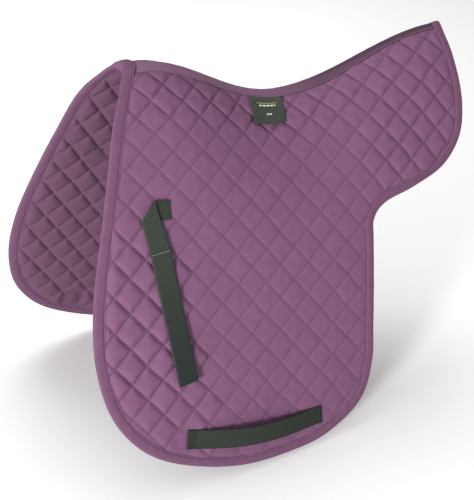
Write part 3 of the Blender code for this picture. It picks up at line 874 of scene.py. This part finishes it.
def spine_tape(name, half, heights, face):
    """A tape over the seam; heights go from its edge to its middle, in millimetres."""
    profile = np.array(heights) / 1000
    bm = flat_strip(round(SPINE_LENGTH / 0.004), 20)

    def place(share, across, layer):
        x = -FRONT_LENGTH - 0.001 + (SPINE_LENGTH + 0.002) * share
        sideways = half * (2 * across - 1)
        height = np.interp(1 - np.abs(2 * across - 1), np.linspace(0, 1, len(profile)), profile)
        pucker = 0.0002 * waves(x, sideways, 0.014, 41)
        ends = soft_step(np.minimum(x + FRONT_LENGTH + 0.003, REAR_LENGTH + 0.003 - x) / 0.008)
        height = (height + pucker) * (0.8 + 0.2 * ends) - (1 - layer) * TAPE_THICKNESS
        return drape_over_seam(np.column_stack([x, sideways + tape_shift(x), face * height]))

    share, across, _ = np.array([v.co for v in bm.verts]).T
    x = SPINE_LENGTH * share - FRONT_LENGTH
    far = half * (2 * across - 1) + tape_shift(x)
    # painted shade: the tape darkens towards the rear, and most on its far side there
    shade = 0.6 * soft_step((x + 0.06) / 0.15)
    shade += 0.25 * soft_step((x - 0.02) / 0.10) * soft_step((far + 0.0085) / 0.006)
    bend_strip(bm, SPINE_LENGTH, 2 * half, place)
    tape = make_piece(name, bm, TAPE_COTTON)
    add_map(tape.data, "shade", np.column_stack([shade, shade]))
    return tape


# %% The binding where it crosses the spine
# the binding's row of stitches: inwards from the cut edge, and its height over the middle of the pad
SEAM_INSET, SEAM_HEIGHT = 0.0132, 0.0023
# every row of stitches is laid twice, the second time this much higher, to show which way is up
UP = 0.001


def crossing_binding(name, edge, inwards, rise):
    """A short length of binding over one end of the spine, above the tapes; returns its seam rows."""
    run = length_along(edge)
    spots = []
    for at in (-0.024, -0.012, 0, 0.012, 0.024):
        x, y = points_at([abs(at)], run, edge)[0]
        spots.append((x, math.copysign(seam_line(x) - y, at)))
    line = smooth_line(spots, 0.0015)
    square = inwards * left_of(line)
    bm = unit_grid(len(line) - 1, len(RING) - 1)

    def over(i, inward, height):
        flat = line[i] + square[i] * inward[:, None]
        lift = 0.0002 + rise * soft_step(1.15 - np.abs(line[i, 1]) / 0.021)
        return drape_over_seam(np.column_stack([flat, height + np.sign(height) * lift]))

    def place(share, across, _):
        inward, height = RING[np.round(across * (len(RING) - 1)).astype(int)].T
        return over(np.round(share * (len(line) - 1)).astype(int), inward, height)

    bend_strip(bm, length_along(line)[-1], RING_RUN[-1], place)
    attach(make_piece(name, bm, BINDING_COTTON), "spine")
    every, inset = np.arange(len(line)), np.full(len(line), SEAM_INSET)
    return [[over(every, inset, face * (SEAM_HEIGHT + more)) for more in (0, UP)] for face in (1, -1)]


crossing_rows = crossing_binding("front_crossing_binding", EDGE, -1, 0.0038)
crossing_rows += crossing_binding("rear_crossing_binding", EDGE[::-1], 1, 0.0026)

# %% Both tapes
over = spine_tape("spine_cover_tape", TAPE_HALF_WIDTH, (2.9, 2.8, 3.9, 4.4, 4.8, 5.2), 1)
under = spine_tape("spine_under_tape", 0.012, (2.9, 2.8, 3.8, 4.3, 4.7, 5.0), -1)
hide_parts("spine_tape")
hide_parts("spine_inner_tape")
for tape in (over, under):
    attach(tape, "spine")
print("each spine tape has", len(over.data.polygons), "faces")

# %% [markdown]
# ## The front straps
# Each strap is sewn to the cover by its end, folded over at a corner, and hangs down. Its lower part
# carries a touch fastener and folds up round a strap of the saddle. The strap is flat in one plane, so
# it is built in a frame of its own: x towards the rear, y up along the strap, z off the pad.

# %% The strap's own frame
COVER_TOP = 0.0024
STRAP_WIDTH, WEBBING = 0.032, 0.0012
HALF = STRAP_WIDTH / 2
STRAP_X, STRAP_TOP = -0.2615 - HALF, 0.426
STRAP_SHIFT, STRAP_END = 0.015, 0.159
SOFT_TOP, STRAP_BREAK = 0.354, 0.257
FASTENER, FASTENER_MARGIN = 0.0013, 0.0006
# the folded corner: height of its middle, its slope, and the width of the strap there as a share
CREASE_RISE, CREASE_SLOPE, DRAWN_IN = 0.0026, 0.87, 0.90
# how far the webbing lies above the cover at the folded corner, and how much further off at its end
FOLD_RISE, END_LIFT = 0.0042, 0.0030


def strap_frame(side):
    """Matrix at the folded corner: X across the strap, Y up along it, Z off the pad."""
    height = COVER_TOP + FOLD_RISE + WEBBING + PIECE_GAP / 2
    lifted = height + END_LIFT
    spots = [
        (STRAP_X, STRAP_TOP - HALF, height),
        (STRAP_X + STRAP_SHIFT, STRAP_END, lifted),
        (STRAP_X + STRAP_SHIFT, STRAP_END, lifted + WEBBING),
    ]
    top, end, above = (Vector(p) for p in drape(spots, side))
    up = (top - end).normalized()
    off = (above - end).normalized()
    across = up.cross(off).normalized()
    off = across.cross(up)
    return Matrix.Translation(top) @ Matrix((across, up, off)).transposed().to_4x4()


def strap_up(y):
    """Pattern height turned into height along the strap."""
    return y - (STRAP_TOP - HALF)


def to_world(side, x, y, z):
    """Points of the strap's frame, x towards the rear, in the world."""
    frame_matrix = np.array(strap_frame(side))
    return np.column_stack([-side * x, y, z]) @ frame_matrix[:3, :3].T + frame_matrix[:3, 3]


# %% How a strap lies
WEB_TOP = PIECE_GAP / 2 + WEBBING
SOFT, LOW, TIP = strap_up(SOFT_TOP), strap_up(STRAP_BREAK), strap_up(STRAP_END)
TAB_BOW, TAB_GAP, HOOK_GAP = 0.0004, 0.0002, 0.00005


def strap_sag(x, y):
    """Slight bow and twist of the hanging strap, nought at its fold and at its bend."""
    down = np.clip(y / LOW, 0, 1)
    return 0.0007 * np.sin(math.pi * down) * (1 + 0.5 * x / HALF)


def strap_kink(y):
    """Sideways shift of the strap, whose two lengths are sewn together a little out of line."""
    return np.interp(y, (TIP, SOFT, 0), (0, 0.0033, 0))


def crease_y(x):
    """Height of the folded corner, which lies a little flatter than a true diagonal."""
    return CREASE_RISE + CREASE_SLOPE * x


def sewn_end_spot(share, across):
    """The sewn end points a little downwards, because the fold mirrors the strap's slant."""
    start = DRAWN_IN * HALF * (2 * across - 1)
    x = start + (0.0320 + 0.0058 * across - start) * share
    y = crease_y(start) + (-0.0171 + 0.0276 * across - crease_y(start)) * share
    sunk = 0.0021 * soft_step((x - 0.002) / 0.016)
    return x, y, -WEB_TOP - sunk


def hanging_spot(share, across):
    """The hanging strap starts at the crease and has its full width from the soft tape down."""
    down = np.clip((crease_y(0) - LOW) * share / (crease_y(0) - SOFT), 0, 1)
    x = (across - 0.5) * STRAP_WIDTH * (DRAWN_IN + (1 - DRAWN_IN) * down)
    y = crease_y(x) + (LOW - crease_y(x)) * share
    return x, y, PIECE_GAP / 2 + strap_sag(x, y)


def straight_spot(start, end, margin, base, bow=None):
    """A straight strip, narrower by a margin at each side; it sags with the strap or has a bow of its own."""

    def spot(share, across):
        x = (across - 0.5) * (STRAP_WIDTH - 2 * margin)
        y = start + (end - start) * share
        return x, y, base + (bow * np.sin(math.pi * share) if bow else strap_sag(x, y))

    return spot


soft_spot = straight_spot(SOFT, LOW, FASTENER_MARGIN, WEB_TOP)
tab_spot = straight_spot(LOW - TAB_GAP, TIP - TAB_GAP, 0, PIECE_GAP / 2, TAB_BOW)
hook_end = TIP + FASTENER_MARGIN - HOOK_GAP
hook_spot = straight_spot(LOW - HOOK_GAP, hook_end, FASTENER_MARGIN, WEB_TOP, TAB_BOW)


# %% Make both straps
def web_strip(name, side, slot, material, steps, length, thickness, spot):
    """A strip in the strap's frame; spot gives x, y and the height of its underside."""
    bm = flat_strip(steps, 20)

    def place(share, across, layer):
        x, y, low = spot(share, across)
        round_off = rounded(across, STRAP_WIDTH, thickness)
        z = low + thickness / 2 + (layer - 0.5) * thickness * round_off
        return to_world(side, x + strap_kink(y), y, z)

    bend_strip(bm, length, STRAP_WIDTH, place)
    return make_piece(name, bm, material)


def corner_fold(name, side):
    """The rounded edge where the webbing turns over, a flat tube along the diagonal."""
    bm = bmesh.new()
    depth = DRAWN_IN * STRAP_WIDTH * math.hypot(1, CREASE_SLOPE) - 0.0006
    bmesh.ops.create_cone(bm, cap_ends=True, segments=16, radius1=WEB_TOP, radius2=WEB_TOP, depth=depth)
    add_strip_map(bm, (2, 0), (1, 1))
    slope = math.atan2(CREASE_SLOPE, -side)
    turn = Matrix.Rotation(slope, 4, "Z") @ Matrix.Rotation(math.pi / 2, 4, "Y")
    place = strap_frame(side) @ Matrix.Translation((0, CREASE_RISE, 0)) @ turn
    bmesh.ops.transform(bm, matrix=place, verts=bm.verts[:])
    return make_piece(name, bm, GREEN_WEBBING)


SOFT_LENGTH, TAB_LENGTH = SOFT_TOP - STRAP_BREAK, STRAP_BREAK - STRAP_END
# of each strip: its name, the CAD node and the body, then what web_strip needs
STRAP_STRIPS = (
    ("sewn_end", "strap_anchor", "flap", "webbing", GREEN_WEBBING, 24, 0.049, WEBBING, sewn_end_spot),
    ("hanging", "strap_web", "strap", "webbing", GREEN_WEBBING, 70, 0.152, WEBBING, hanging_spot),
    ("loops", "soft_tape", "strap", "soft_tape", GREEN_LOOPS, 50, SOFT_LENGTH, FASTENER, soft_spot),
    ("end", "strap_tab", "tab", "webbing", GREEN_WEBBING, 50, TAB_LENGTH, WEBBING, tab_spot),
    ("hooks", "hook_tape", "tab", "hook_tape", GREEN_HOOKS, 50, TAB_LENGTH, FASTENER, hook_spot),
)

for word, side in HALVES:
    for part, node, body, *strip in STRAP_STRIPS:
        piece = web_strip(f"{word}_strap_{part}", side, *strip)
        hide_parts(f"{word}_{node}")
        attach(piece, f"{word}_{body}")
    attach(corner_fold(f"{word}_strap_fold", side), f"{word}_strap")
print("each strap has", len(STRAP_STRIPS), "strips and a fold")

# %% [markdown]
# ## The girth loops
# A band along the hem of each half is sewn down at both ends. The girth passes behind it, so between
# its ends it stands off the pad.

# %% Girth loops
LOOP_BOW, LOOP_SEWN_END = 0.0155, 0.016
LOOP = smooth_line(LOOP_LINE, 0.002)
LOOP_RUN = length_along(LOOP)
LOOP_UP = left_of(LOOP)
LOOP_LENGTH = LOOP_RUN[-1]


def loop_point(share, across):
    """Pattern point on the band, across from its middle line."""
    at = share * LOOP_LENGTH
    return points_at(at, LOOP_RUN, LOOP) + across[:, None] * points_at(at, LOOP_RUN, LOOP_UP)


def loop_height(share):
    """Height of the band's underside over the middle of the pad."""
    free = np.clip((share * LOOP_LENGTH - LOOP_SEWN_END) / (LOOP_LENGTH - 2 * LOOP_SEWN_END), 0, 1)
    return COVER_TOP + PIECE_GAP + LOOP_BOW * np.sin(math.pi * free)


def girth_band(name, side):
    """The band of one half, bowed off the pad."""
    bm = flat_strip(round(LOOP_LENGTH / 0.003), 20)

    def place(share, across, layer):
        flat = loop_point(share, (across - 0.5) * LOOP_WIDTH)
        round_off = rounded(across, LOOP_WIDTH, WEBBING)
        height = loop_height(share) + WEBBING / 2 + (layer - 0.5) * WEBBING * round_off
        return drape(np.column_stack([flat, height]), side)

    bend_strip(bm, LOOP_LENGTH, LOOP_WIDTH, place)
    return make_piece(name, bm, GIRTH_WEBBING)


for word, side in HALVES:
    girth = girth_band(f"{word}_girth_band", side)
    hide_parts(f"{word}_girth_loop")
    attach(girth, f"{word}_flap")
print("girth band", round(LOOP_LENGTH, 3), "m long")

# %% [markdown]
# ## The size label
# A woven satin label hangs from the spine tape of the near half. Satin is smooth, so it shines more than
# the cotton round it. Its weave shows a rule and two rows of dashes in place of words.

# %% Label
LABEL_FRONT, LABEL_WIDTH, LABEL_DROP, LABEL_SLANT = -0.0555, 0.060, 0.051, -0.015
LABEL_THICKNESS = 0.0006
SATIN_THREADS = 0.0006
# marks: upper and lower limit, front and rear limit, half the pitch of its dashes, half the gap between them
LABEL_MARKS = (
    (0.0145, 0.0155, 0.012, 0.049, 1.0, 0.0),
    (0.0180, 0.0205, 0.016, 0.045, 0.0035, 0.0035 * 0.3),
    (0.0330, 0.0352, 0.026, 0.035, 0.0030, 0.0030 * 0.3),
)


def woven_label():
    """Dark satin with its marks woven in."""
    material, tree = start_material("woven_satin_label", 0.5, 0.04, "#5d6a60")
    strip = add(tree, "UVMap", dict(uv_map="strip"))
    place = add(tree, "SeparateXYZ", Vector=strip).outputs
    marks = []
    for upper, lower, front, rear, half_pitch, half_gap in LABEL_MARKS:
        along = add(tree, "Math", "PINGPONG", i0=place["X"], i1=half_pitch)
        mark = add(tree, "Math", "GREATER_THAN", i0=along, i1=half_gap)
        for axis, least, most in (("Y", upper, lower), ("X", front, rear)):
            for way, limit in (("GREATER_THAN", least), ("LESS_THAN", most)):
                test = add(tree, "Math", way, i0=place[axis], i1=limit)
                mark = add(tree, "Math", "MULTIPLY", i0=mark, i1=test)
        marks.append(mark)
    pair = add(tree, "Math", "MAXIMUM", i0=marks[1], i1=marks[2])
    satin = add(tree, "TexWave", Vector=strip, Scale=METRE_RIDGES / SATIN_THREADS, **WOVEN).outputs["Fac"]
    ground = add(tree, "Mix", COLOUR, i0=satin, i6=linear("#2d332d"), i7=linear("#3a413a"))
    ruled = add(tree, "Mix", COLOUR, i0=marks[0], i6=ground, i7=linear("#a8935a"))
    dashed = add(tree, "Mix", COLOUR, i0=pair, i6=ruled, i7=linear("#d8d2bd"))
    return finish_material(material, dashed, satin, 0.4, 0.0001)


def size_label():
    """The label, a little crooked, with its lower edge curled."""
    bm = flat_strip(30, 24)

    def place(share, across, layer):
        x = LABEL_FRONT + LABEL_WIDTH * share + LABEL_SLANT * across
        crooked = 0.009 * (0.5 - share)
        y = seam_line(x) - TAPE_HALF_WIDTH + 0.001 - across * (LABEL_DROP + 0.001 + crooked)
        low = 0.0030 + 0.0033 * soft_step(across * LABEL_DROP / 0.008)
        curl = 0.0012 * across**2 * (0.6 + 0.4 * np.cos(3 * math.pi * share))
        return drape(np.column_stack([x, y, low + curl + LABEL_THICKNESS * layer]), NEAR)

    bend_strip(bm, LABEL_WIDTH, LABEL_DROP, place)
    return make_piece("woven_size_label", bm, woven_label())


label = size_label()
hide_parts("size_label")
fold_with_half(label)

# %% [markdown]
# ## Thread
# Stitches that are seen close up are small pieces of thread, so they are modelled: one bead of thread is
# made once, doubled until there are enough, and each copy is turned along its seam. Thousands of
# stitches stay light because each bead has only a few dozen faces.

# %% Rows of stitches
STITCH_LENGTH, STITCH_PITCH, THREAD_RADIUS = 0.0030, 0.0045, 0.00050


def even_points(line, pitch):
    """Points a pitch apart along a world line, with the direction of the line there."""
    run = length_along(line)
    at = np.arange(pitch / 2, run[-1], pitch)
    way = points_at(at + pitch / 4, run, line) - points_at(at - pitch / 4, run, line)
    return points_at(at, run, line), way / np.linalg.norm(way, axis=1)[:, None]


def stitch_places(rows, pitch):
    """Middle, direction and upward direction of each stitch in some rows of (line, lifted line)."""
    places = []
    for line, lifted in rows:
        middle, way = even_points(line, pitch)
        above, _ = even_points(lifted, pitch)
        count = min(len(middle), len(above))
        middle, way = middle[:count], way[:count]
        off = above[:count] - middle
        off -= (off * way).sum(axis=1)[:, None] * way
        places.append((middle, way, off / np.linalg.norm(off, axis=1)[:, None]))
    return [np.concatenate(part) for part in zip(*places)]


def stitches(name, rows, material, pitch=STITCH_PITCH, radius=THREAD_RADIUS):
    """One object with a bead of thread for each stitch."""
    middles, ways, offs = stitch_places(rows, pitch)
    bm = bmesh.new()
    bmesh.ops.create_uvsphere(bm, u_segments=6, v_segments=4, radius=1)
    copies, storey = 1, 4
    while copies < len(middles):
        made = bmesh.ops.duplicate(bm, geom=bm.verts[:] + bm.edges[:] + bm.faces[:])["geom"]
        upper = [g for g in made if isinstance(g, bmesh.types.BMVert)]
        bmesh.ops.translate(bm, verts=upper, vec=(0, 0, storey * copies))
        copies *= 2
    tower = np.array([v.co for v in bm.verts])
    which = np.round(tower[:, 2] / storey).astype(int)
    spare = [v for v, stitch in zip(bm.verts, which) if stitch >= len(middles)]
    bmesh.ops.delete(bm, geom=spare, context="VERTS")
    tower, which = tower[which < len(middles)], which[which < len(middles)]
    tower[:, 2] -= storey * which
    local = tower * np.array([radius, radius, pitch * STITCH_LENGTH / STITCH_PITCH / 2])
    third = np.cross(ways, offs)[which]
    placed = middles[which] + local[:, :1] * third + local[:, 1:2] * offs[which] + local[:, 2:] * ways[which]
    for v, point in zip(bm.verts, placed):
        v.co = point
    bmesh.ops.recalc_face_normals(bm, faces=bm.faces[:])
    return make_piece(name, bm, material)


def draped_row(flat, height, side):
    """A row on the pad as a world line and the same line a little higher."""
    return [lay(flat, height + more, side) for more in (0, UP)]


def strap_row(side, x, y, z):
    """A row in the strap's frame, in the same two lines."""
    return [to_world(side, x, y, z + more) for more in (0, UP)]


def box_rows(corners):
    """Edges of a sewn box, and its cross, as lines of points."""
    a, b, c, d = (np.array(corner, float) for corner in corners)
    return [np.linspace(*pair, 12) for pair in ((a, b), (b, c), (c, d), (d, a), (a, c), (b, d))]


# %% Stitches of the binding and the spine tape
for word, side in HALVES:
    flat = (EDGE + SEAM_INSET * binding_share(*EDGE.T)[:, None] * EDGE_IN)[6:-6]
    rows = [draped_row(flat, face * SEAM_HEIGHT, side) for face in (1, -1)]
    sewn_edge = stitches(f"{word}_binding_stitches", rows, PLUM_THREAD)
    fold_with_half(sewn_edge)

TAPE_SEAM_HEIGHT = 0.00295
rows = []
x = np.linspace(-FRONT_LENGTH + 0.004, REAR_LENGTH - 0.004, 160)
for half, face in ((0.0150, 1), (0.0102, -1)):
    for way in (-1, 1):
        points = np.column_stack([x, way * half + tape_shift(x), np.full_like(x, face * TAPE_SEAM_HEIGHT)])
        rows.append([drape_over_seam(points + np.array([0, 0, face * more])) for more in (0, UP)])
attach(stitches("spine_tape_stitches", rows + crossing_rows, TAPE_THREAD), "spine")

# %% Stitches of the straps and the girth loops
BOX_PITCH, BOX_RADIUS = 0.0032, 0.00045
SEWN_BOX = ((0.0165, -0.0115), (0.0295, -0.0143), (0.0344, 0.0088), (0.0214, 0.0116))
GIRTH_BOX_START, GIRTH_BOX_END, GIRTH_BOX_HALF = 0.0025, 0.0135, 0.0115


def girth_boxes(height, side):
    """Rows of the boxes at both ends of a girth loop; height gives their height at shares of its length."""
    found, wide = [], GIRTH_BOX_HALF
    ends = (GIRTH_BOX_START, GIRTH_BOX_END), (LOOP_LENGTH - GIRTH_BOX_END, LOOP_LENGTH - GIRTH_BOX_START)
    for start, end in ends:
        for line in box_rows([(start, -wide), (end, -wide), (end, wide), (start, wide)]):
            share = line[:, 0] / LOOP_LENGTH
            found.append(draped_row(loop_point(share, line[:, 1]), height(share), side))
    return found


for word, side in HALVES:
    rows = [strap_row(side, *line.T, np.full(len(line), -0.0022)) for line in box_rows(SEWN_BOX)]
    box = stitches(f"{word}_sewn_end_stitches", rows, DARK_THREAD, BOX_PITCH, BOX_RADIUS)
    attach(box, f"{word}_flap")

    x = np.linspace(-HALF + 0.0015, HALF - 0.0015, 12)
    for part, drop, thread, pitch, radius in (
        ("seam", 0.0012, GREEN_THREAD, 0.0022, 0.0007),
        ("back_seam", 0.0085, DARK_THREAD, 0.0030, 0.0005),
    ):
        y = np.full_like(x, SOFT - drop)
        rows = [strap_row(side, x + strap_kink(y), y, WEB_TOP + FASTENER + strap_sag(x, y) + 0.0001)]
        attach(stitches(f"{word}_strap_{part}", rows, thread, pitch, radius), f"{word}_strap")

    rows = girth_boxes(lambda share: loop_height(share) + WEBBING, side)
    box = stitches(f"{word}_girth_band_stitches", rows, DARK_THREAD, BOX_PITCH, BOX_RADIUS)
    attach(box, f"{word}_flap")

# %% [markdown]
# ## Stitches that show on the lining
# The green thread of the straps and of the girth loops goes right through the pad, so the lining shows
# the same boxes. They are easy to forget, and they are what tells the eye that the webbing is sewn on.

# %% Thread on the lining side
LINING_BOX = ((-0.261, 0.3985), (-0.248, 0.3957), (-0.243, 0.4188), (-0.256, 0.4216))
BOX_LEVEL, GIRTH_BOX_LEVEL = -0.0046, -0.0022

for word, side in HALVES:
    rows = [draped_row(line, BOX_LEVEL, side) for line in box_rows(LINING_BOX)]
    rows += girth_boxes(lambda _: GIRTH_BOX_LEVEL, side)
    marks = stitches(f"{word}_lining_marks", rows, DARK_THREAD, BOX_PITCH)
    fold_with_half(marks)

# %% [markdown]
# ## Label stitches
# The label is held by a row along the tape, in its own dark thread.

# %% Label seam
x = np.linspace(LABEL_FRONT + 0.002, LABEL_FRONT + LABEL_WIDTH - 0.002, 30)
flat = np.column_stack([x, seam_line(x) - TAPE_HALF_WIDTH - 0.0022])
rows = [draped_row(flat, 0.0040, NEAR)]
label_seam = stitches("label_seam", rows, DARK_THREAD, BOX_PITCH, 0.0003)
fold_with_half(label_seam)

# %% [markdown]
# ## Floor, light and camera
# The pad is shown as in a shop's picture, on a pale floor. A rather small lamp stands low at the front
# left, so that every puff of the quilting has a light and a dark side. A broad lamp high above the far
# side lights the floor there, and a bright room fills the shadows. The camera stands at the front left,
# above the spine, with a lens that is long enough to keep the lines calm.

# %% Floor
FLOOR, FLOOR_HALF = -0.490, 6


def pale_floor():
    """A large sheet of pale paper, just below the hem."""
    bm = bmesh.new()
    bmesh.ops.create_grid(bm, x_segments=1, y_segments=1, size=FLOOR_HALF)
    bmesh.ops.translate(bm, verts=bm.verts[:], vec=(0, 0, FLOOR))
    mesh = bpy.data.meshes.new("floor")
    bm.to_mesh(mesh)
    bm.free()
    material = bpy.data.materials.new("pale_paper")
    material.use_nodes = True
    shader = material.node_tree.nodes["Principled BSDF"]
    shader.inputs["Base Color"].default_value = linear("#f2f2f1")
    shader.inputs["Roughness"].default_value = 0.9
    mesh.materials.append(material)
    add_object("floor", mesh)


pale_floor()


# %% Light
def soft_light(name, place, target, size, power):
    """A round lamp that faces its target."""
    light = bpy.data.lights.new(name, "AREA")
    light.shape = "DISK"
    light.size = size
    light.energy = power
    lamp = add_object(name, light)
    lamp.location = place
    lamp.rotation_euler = (Vector(target) - Vector(place)).to_track_quat("-Z", "Y").to_euler()


soft_light("key", (-3.0, -2.3, 0.35), (0, 0, -0.2), 0.75, 190)
soft_light("sky", (0.2, 1.6, 2.6), (0, 1.2, -0.5), 2.6, 60)
world = bpy.data.worlds.new("studio")
world.use_nodes = True
world.node_tree.nodes["Background"].inputs["Color"].default_value = linear("#ffffff")
world.node_tree.nodes["Background"].inputs["Strength"].default_value = 0.66
bpy.context.scene.world = world
bpy.context.scene.view_settings.view_transform = "Standard"

# %% Camera
lens = bpy.data.cameras.new("camera")
lens.lens = 74.1
lens.sensor_width = 36
camera = add_object("camera", lens)
camera.location = (-0.7791, -1.3412, 0.5036)
aim = Vector((-0.0650, 0.0, -0.2571)) - Vector(camera.location)
camera.rotation_euler = aim.to_track_quat("-Z", "Y").to_euler()
bpy.context.scene.camera = camera
